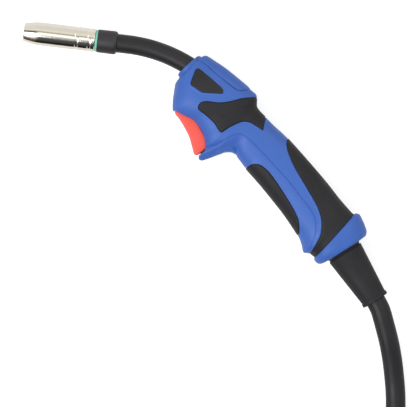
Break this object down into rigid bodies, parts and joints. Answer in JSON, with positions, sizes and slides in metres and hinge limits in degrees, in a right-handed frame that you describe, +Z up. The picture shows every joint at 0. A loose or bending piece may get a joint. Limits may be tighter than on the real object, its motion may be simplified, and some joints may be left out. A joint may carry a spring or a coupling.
{
  "type": "mig welding torch",
  "caption": "Swan-neck gas-cooled welding torch with a pull-off gas nozzle, sprung trigger, padded two-shell handle, swivelling boot and a coiled cable with a central connector.",
  "frame": {"origin": "on the bench, under the middle of the torch's box without its cable and connector", "axes": "+X from the nozzle's mouth towards the cable's end of the handle, +Y towards the handle's top ridge, +Z up from the bench; the torch lies on its right side"},
  "size_m": [0.3312, 0.5272, 0.0475],
  "materials": {
    "shell_blue": "satin moulded",
    "soft_black": "soft matt",
    "hard_black": "fine matt",
    "cable_black": "satin jacket",
    "trigger_red": "satin moulded",
    "nickel": "bright plated, lightly worn",
    "copper": "drawn",
    "brass": "turned",
    "steel": "zinc plated",
    "teal": "moulded"
  },
  "bodies": {
    "handle": {"contact_tip": "copper", "gas_diffuser": "brass", "nozzle_spring": "steel", "nozzle_insulator": "teal", "neck_sleeve": "hard_black", "neck_tube": "copper", "neck_insulation": "soft_black", "wire_liner": "steel", "neck_block": "brass", "cable_nut": "steel", "inner_cable": "cable_black", "shell_left": "shell_blue", "shell_right": "shell_blue", "top_cover": "shell_blue", "name_plate_left": "hard_black", "name_plate_right": "hard_black", "shoulder_pad_left": "soft_black", "shoulder_pad_right": "soft_black", "finger_pad_left": "soft_black", "finger_pad_right": "soft_black", "palm_pad_left": "soft_black", "palm_pad_right": "soft_black", "rear_ring": "shell_blue", "handle_screws": "steel", "trigger_frame": "hard_black", "trigger_pin": "steel", "trigger_spring": "steel", "microswitch": "hard_black", "switch_wires": "cable_black"},
    "nozzle": {"gas_nozzle": "nickel"},
    "trigger_lever": {"trigger": "trigger_red"},
    "plunger": {"switch_plunger": "trigger_red"},
    "cable_support": {"swivel_ball": "hard_black", "strain_relief_boot": "soft_black", "boot_cable": "cable_black", "cable": "cable_black", "cable_coil": "cable_black", "plug_cable": "cable_black", "plug_boot": "soft_black", "plug_housing_left": "hard_black", "plug_housing_right": "hard_black", "plug_screws": "steel", "plug_block": "brass", "power_pin": "brass", "gas_o_ring": "soft_black", "liner_nut": "brass"},
    "connector_nut": {"plug_nut": "hard_black"},
    "contact_left": {"pilot_pin_left": "brass"},
    "contact_right": {"pilot_pin_right": "brass"}
  },
  "joints": [
    {"name": "nozzle_pull", "type": "slide", "parent": "handle", "child": "nozzle", "axis": [-1, 0, 0], "range_m": [0, 0.058]},
    {"name": "trigger_hinge", "type": "hinge", "parent": "handle", "child": "trigger_lever", "pos_m": [-0.01907, 0.0441, 0.02], "axis": [0, 0, 1], "range_deg": [0, 5], "stiffness_Nm_per_rad": 0.45, "springref_deg": -20.05},
    {"name": "plunger_slide", "type": "slide", "parent": "handle", "child": "plunger", "axis": [0.8161, 0.5779, 0], "range_m": [0, 0.0015]},
    {"name": "cable_swivel", "type": "hinge", "parent": "handle", "child": "cable_support", "pos_m": [0.10912, -0.04639, 0.02], "axis": [0, 0, 1], "range_deg": [-7.5, 7.5]},
    {"name": "nut_spin", "type": "hinge", "parent": "cable_support", "child": "connector_nut", "pos_m": [-0.06307, -0.4084, 0.02375], "axis": [1, 0, 0], "continuous": true},
    {"name": "contact_left_slide", "type": "slide", "parent": "cable_support", "child": "contact_left", "axis": [1, 0, 0], "range_m": [0, 0.003], "stiffness_N_per_m": 1000, "springref_m": -0.002},
    {"name": "contact_right_slide", "type": "slide", "parent": "cable_support", "child": "contact_right", "axis": [1, 0, 0], "range_m": [0, 0.003], "stiffness_N_per_m": 1000, "springref_m": -0.002}
  ],
  "couplings": [
    {"joint": "plunger_slide", "follows": "trigger_hinge", "m_per_rad": 0.017}
  ]
}
